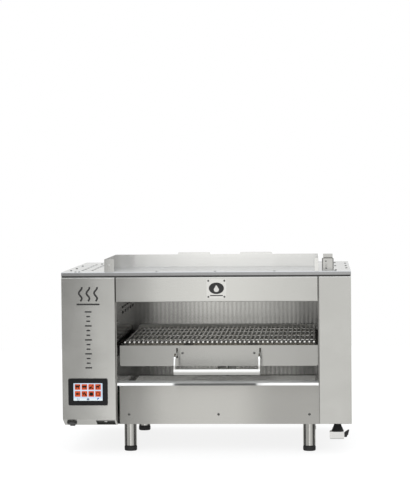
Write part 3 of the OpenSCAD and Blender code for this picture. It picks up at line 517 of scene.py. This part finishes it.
LOOP_LEFT, LOOP_R, LOOP_LINE = 0.0325, 0.0034, 0.0014
HOUSE = [(-0.0042, -0.0034), (0.0042, -0.0034), (0.0042, 0.0006), (0, 0.0048), (-0.0042, 0.0006)]
ERASER, ERASER_LINE = [(0.0295, -0.0008), (0.0355, 0.0034)], 0.0036
zb = gz - SIGNS_DOWN
signs = bmesh.new()
loop = [(gx - LOOP_LEFT + LOOP_R * math.cos(a), zb + LOOP_R * math.sin(a)) for a in
        [math.radians(110 + i * 30) for i in range(11)]]
plate(signs, band(loop, LOOP_LINE), gy - SIGN_OUT, gy - BAR_OUT)
plate(signs, [(gx + x, zb + z) for x, z in HOUSE], gy - SIGN_OUT, gy - BAR_OUT)
piece("screen_signs", signs, M["slate"])
bm = bmesh.new()
stroke = band([(gx + x, zb + z) for x, z in ERASER], ERASER_LINE)
plate(bm, stroke, gy - SIGN_OUT, gy - BAR_OUT)
piece("screen_eraser", bm, M["blue"])

# ---------------------------------------------------------------- column
# Plain printed ornament on the display column, in place of any lettering: heat waves and bars
PRINT = 0.0003
WAVE_PITCH, WAVE_SWING, WAVE_LINE, WAVE_Z, WAVE_H = 0.025, 0.0050, 0.0058, 0.501, 0.046
WAVE_STEPS, STEPS_PER_WAVE = 16, 12
UNDERLINE_HALF_W, UNDERLINE_Z, UNDERLINE_CORNER = 0.038, (0.4878, 0.4930), 0.0024
BARS, BARS_Z, BAR_PITCH, BAR_HALF_H, BAR_CORNER = 13, 0.466, 0.0152, 0.0023, 0.0021
SHORT_BAR, LONG_BAR = 0.0065, 0.0115

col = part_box("left_front_cover")
cy = col[0][1]
cx = middle(col)[0]
bm = bmesh.new()
for k in (-1, 0, 1):
    path = []
    for t in range(WAVE_STEPS + 1):
        swing = WAVE_SWING * math.sin(2 * math.pi * t / STEPS_PER_WAVE)
        path.append((cx + k * WAVE_PITCH + swing, WAVE_Z + WAVE_H * t / WAVE_STEPS))
    plate(bm, band(path, WAVE_LINE), cy - PRINT, cy)
underline = rounded(cx - UNDERLINE_HALF_W, cx + UNDERLINE_HALF_W, *UNDERLINE_Z, UNDERLINE_CORNER, 3)
plate(bm, underline, cy - PRINT, cy)
piece("column_heat_sign", bm, M["ink"])
bm = bmesh.new()
for k in range(BARS):
    z = BARS_Z - k * BAR_PITCH
    w = SHORT_BAR if k % 3 else LONG_BAR
    plate(bm, rounded(cx - w, cx + w, z - BAR_HALF_H, z + BAR_HALF_H, BAR_CORNER, 3), cy - PRINT, cy)
piece("column_bars", bm, M["ink"])

# Bright fastener at the bottom of the recessed pull, on the column's sloped underside
SLOPE_RISE, SLOPE_RUN, SLOPE_TOP_Z = 0.025, 0.052, 0.115
PULL_RIGHT, PULL_DOWN, FASTENER_SIDES = 0.031, 0.029, 24
# Radius of each ring, and its height from the slope's face, from the base to the bottom of the socket
FASTENER = ((0.0052, -0.0066), (0.0052, -0.0024), (0.0044, -0.0014), (0.0022, -0.0009), (0.0018, -0.0022))

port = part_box("service_port")
slope = math.atan2(SLOPE_RISE, SLOPE_RUN)
out = Vector((0, -math.sin(slope), -math.cos(slope)))
down = Vector((0, math.cos(slope), -math.sin(slope)))
pull = Vector((port[1][0] - PULL_RIGHT, col[0][1], SLOPE_TOP_Z)) + down * PULL_DOWN
bm = bmesh.new()
rings = []
for r, h in FASTENER:
    rings.append([bm.verts.new(pull + out * h + Vector((r * math.cos(a), 0, 0)) + down * (r * math.sin(a)))
                  for a in turns(FASTENER_SIDES)])
bm.faces.new(rings[0])
bm.faces.new(rings[-1])
for lo, hi in zip(rings, rings[1:]):
    for i in range(FASTENER_SIDES):
        j = (i + 1) % FASTENER_SIDES
        bm.faces.new((lo[i], lo[j], hi[j], hi[i]))
piece("pull_fastener", bm, M["bright"])

# ---------------------------------------------------------------- badge
# A dark oval on the ring with a plain flame drop, over a thin bar
BADGE_PRINT = 0.0004
OVAL_RX, OVAL_RZ, OVAL_UP = 0.0245, 0.0185, 0.0015
BADGE_BAR_HALF_W, BADGE_BAR_LOW, BADGE_BAR_HIGH, BADGE_BAR_CORNER = 0.021, 0.0235, 0.0205, 0.0014
DROP_R, DROP_DOWN, DROP_POINT, DROP_NARROW = 0.0085, 0.002, 0.55, 0.35

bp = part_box("badge_plate")
bx, _, bz = middle(bp)
by = bp[0][1]
bm = bmesh.new()
plate(bm, disc(bx, bz + OVAL_UP, OVAL_RX, OVAL_RZ, n=40), by - BADGE_PRINT, by)
line = rounded(bx - BADGE_BAR_HALF_W, bx + BADGE_BAR_HALF_W, bz - BADGE_BAR_LOW, bz - BADGE_BAR_HIGH,
               BADGE_BAR_CORNER, 3)
plate(bm, line, by - BADGE_PRINT, by)
piece("badge_disc", bm, M["ink"])
bm = bmesh.new()
drop = []
for a in turns(28):
    # The upper half is drawn up to a point
    above = max(0.0, math.sin(a))
    r = DROP_R * (1 + DROP_POINT * above ** 6)
    drop.append((bx + r * math.cos(a) * (1 - DROP_NARROW * above), bz - DROP_DOWN + r * math.sin(a)))
plate(bm, drop, by - 2 * BADGE_PRINT, by - BADGE_PRINT)
piece("badge_flame", bm, M["bright"])

# ---------------------------------------------------------------- handle
# Weld beads where the handle's arms meet the bar, one on each side of each arm
ARM_W, WELD_PATH_R, WELD_ROWS, WELD_SIDES = 0.005, 0.0100, 15, 5
WELD_FROM, WELD_TURN = 48, 84
WELD_R, WELD_RIPPLE, WELD_FLAT = 0.0011, 0.0002, 0.8

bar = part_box("handle_bar")
bar_mid = Vector(middle(bar))
for side in (-1, 1):
    bm = bmesh.new()
    x = bar_mid.x + side * (bar[1][0] - bar[0][0] - ARM_W) / 2
    rows = []
    for i in range(WELD_ROWS):
        a = math.radians(WELD_FROM + WELD_TURN * i / (WELD_ROWS - 1))
        w = WELD_R + WELD_RIPPLE * math.sin(i * 2.1)
        outward = Vector((0, math.cos(a), math.sin(a)))
        c = Vector((x, bar_mid.y, bar_mid.z)) + outward * WELD_PATH_R
        row = []
        for s in (-1, 1):
            for j in range(WELD_SIDES):
                b = math.pi * j / (WELD_SIDES - 1)
                sideways = Vector((s * (ARM_W / 2 + w * math.sin(b) * WELD_FLAT), 0, 0))
                row.append(bm.verts.new(c + sideways + outward * (w * math.cos(b))))
        rows.append(row)
    for r0, r1 in zip(rows, rows[1:]):
        for g in (0, WELD_SIDES):
            for j in range(WELD_SIDES):
                k = (j + 1) % WELD_SIDES
                bm.faces.new((r0[g + j], r0[g + k], r1[g + k], r1[g + j]))
    for row in (rows[0], rows[-1]):
        for g in (0, WELD_SIDES):
            bm.faces.new(row[g:g + WELD_SIDES])
    piece(f"handle_weld_{'left' if side < 0 else 'right'}", bm, M["bright"], "handle", True)


# ---------------------------------------------------------------- floor
FLOOR_RADII, FLOOR_SIDES, FLOOR_BACK = (0.6, 1.2, 1.8, 2.4, 3.0), 64, 0.4
FLOOR_GLOW = 0.84


def floor():
    """A round sheet of white paper under the object."""
    bm = bmesh.new()
    rows = []
    for r in FLOOR_RADII:
        rows.append([bm.verts.new((r * math.cos(a), r * math.sin(a) + FLOOR_BACK, 0.0))
                     for a in turns(FLOOR_SIDES)])
    bm.faces.new(rows[0])
    for lo, hi in zip(rows, rows[1:]):
        for i in range(FLOOR_SIDES):
            j = (i + 1) % FLOOR_SIDES
            bm.faces.new((lo[i], hi[i], hi[j], lo[j]))
    me = bpy.data.meshes.new("studio_floor")
    bm.to_mesh(me)
    bm.free()
    ob = bpy.data.objects.new("studio_floor", me)
    scene.collection.objects.link(ob)
    m, nt, bs = material("studio_paper")
    c = even(nt, 3.0, 2.0)
    nt.links.new(mix(nt, remap(nt, c, 0, 1), (0.17, 0.17, 0.17), (0.18, 0.18, 0.18)), bs.inputs["Base Color"])
    bs.inputs["Roughness"].default_value = 0.9
    bs.inputs["Specular IOR Level"].default_value = 0.0
    bs.inputs["Emission Color"].default_value = (1, 1, 1, 1)
    bs.inputs["Emission Strength"].default_value = FLOOR_GLOW
    me.materials.append(m)
    # The steel reflects the room's grey below the horizon, not the paper
    ob.visible_glossy = False


floor()

# ---------------------------------------------------------------- light
# Level of the room around the object by bearing in degrees: 0 is the object's front, +90 its right
ROOM = ((-180, 1.0), (-168, 1.0), (-150, 0.42), (-125, 0.38), (-112, 0.04), (-74, 0.04), (-60, 0.42),
        (-30, 0.40), (-12, 0.30), (-8.5, 0.36), (-6.5, 0.55), (-5, 1.0), (-3.8, 1.30), (-2.6, 1.25),
        (-1, 0.92), (0.5, 0.84), (3, 0.85), (20, 0.60), (58, 0.42), (70, 0.04), (114, 0.04), (126, 0.38),
        (150, 0.42), (168, 1.0), (180, 1.0))
BRIGHTEST = 1.6
WARM = (BRIGHTEST, BRIGHTEST * 0.995, BRIGHTEST * 0.97)
CEILING = (1.45, 1.48, 1.5)
GREY_BELOW = (0.62, 0.62, 0.605)
# Between these heights of a direction's unit vector the ceiling, and the grey below, take over
CEILING_RISE, GREY_RISE = (0.20, 0.50), (-0.5, -0.25)


def world():
    w = bpy.data.worlds.new("studio")
    scene.world = w
    w.use_nodes = True
    nt = w.node_tree
    bg = nt.nodes["Background"]
    rise = coordinate(nt, "Z", "Generated")
    frontward = calc(nt, "MULTIPLY", coordinate(nt, "Y", "Generated"), -1.0)
    bearing = calc(nt, "ARCTAN2", coordinate(nt, "X", "Generated"), frontward)
    curve = nt.nodes.new("ShaderNodeFloatCurve")
    nt.links.new(remap(nt, bearing, 0.0, 1.0, -math.pi, math.pi), curve.inputs["Value"])
    pts = curve.mapping.curves[0].points
    ends = {0: 0, len(ROOM) - 1: -1}
    for i, (deg, level) in enumerate(ROOM):
        at = ((deg + 180) / 360, level / BRIGHTEST)
        if i in ends:
            pts[ends[i]].location = at
        else:
            pts.new(*at)
    for q in pts:
        q.handle_type = "VECTOR"
    curve.mapping.update()
    light = mix(nt, curve.outputs[0], (0, 0, 0), WARM)
    # The ceiling is one large soft box, and far below the horizon it is grey all round
    light = mix(nt, remap(nt, rise, 0.0, 1.0, *CEILING_RISE), light, CEILING)
    light = mix(nt, remap(nt, rise, 1.0, 0.0, *GREY_RISE), light, GREY_BELOW)
    # Seen directly the room is plain white
    path = nt.nodes.new("ShaderNodeLightPath")
    light = mix(nt, path.outputs["Is Camera Ray"], light, (1.0, 1.0, 1.0))
    nt.links.new(light, bg.inputs[0])
    bg.inputs[1].default_value = 1.0


world()


def area(name, loc, target, w, h, power, col=(1, 1, 1)):
    lamp = bpy.data.lights.new(name, "AREA")
    lamp.shape = "RECTANGLE"
    lamp.size = w
    lamp.size_y = h
    lamp.energy = power
    lamp.color = col
    ob = bpy.data.objects.new(name, lamp)
    ob.location = loc
    d = Vector(target) - Vector(loc)
    ob.rotation_euler = d.to_track_quat("-Z", "Y").to_euler()
    scene.collection.objects.link(ob)


area("top_soft", (0.2, 0.3, 3.2), (0.1, 0.2, 0.3), 2.6, 2.2, 12, (0.96, 0.98, 1.0))
area("right_fill", (3.2, -1.6, 1.4), (0.2, 0.0, 0.35), 1.6, 1.6, 4)

# ---------------------------------------------------------------- camera
SENSOR, FRAME_H, FOCAL = 36.0, 480, 1799.4  # the focal length is in the frame's pixels
CAMERA_AT = (0.3697, -6.1041, 0.9106)
YAW_PITCH_ROLL = (3.6445, -2.0977, -0.5131)

cam = bpy.data.cameras.new("camera")
cam.sensor_fit = "AUTO"
cam.sensor_width = SENSOR
cam.lens = FOCAL / FRAME_H * SENSOR
cam.clip_end = 60
co = bpy.data.objects.new("camera", cam)
scene.collection.objects.link(co)
yaw, pitch, roll = (math.radians(v) for v in YAW_PITCH_ROLL)
fwd = Vector((-math.sin(yaw) * math.cos(pitch), math.cos(yaw) * math.cos(pitch), math.sin(pitch)))
right = Vector((math.cos(yaw), math.sin(yaw), 0))
up = right.cross(fwd)
r2 = math.cos(roll) * right + math.sin(roll) * up
u2 = -math.sin(roll) * right + math.cos(roll) * up
rot = Matrix((r2, u2, -fwd)).transposed()
co.matrix_world = Matrix.Translation(CAMERA_AT) @ rot.to_4x4()
scene.camera = co
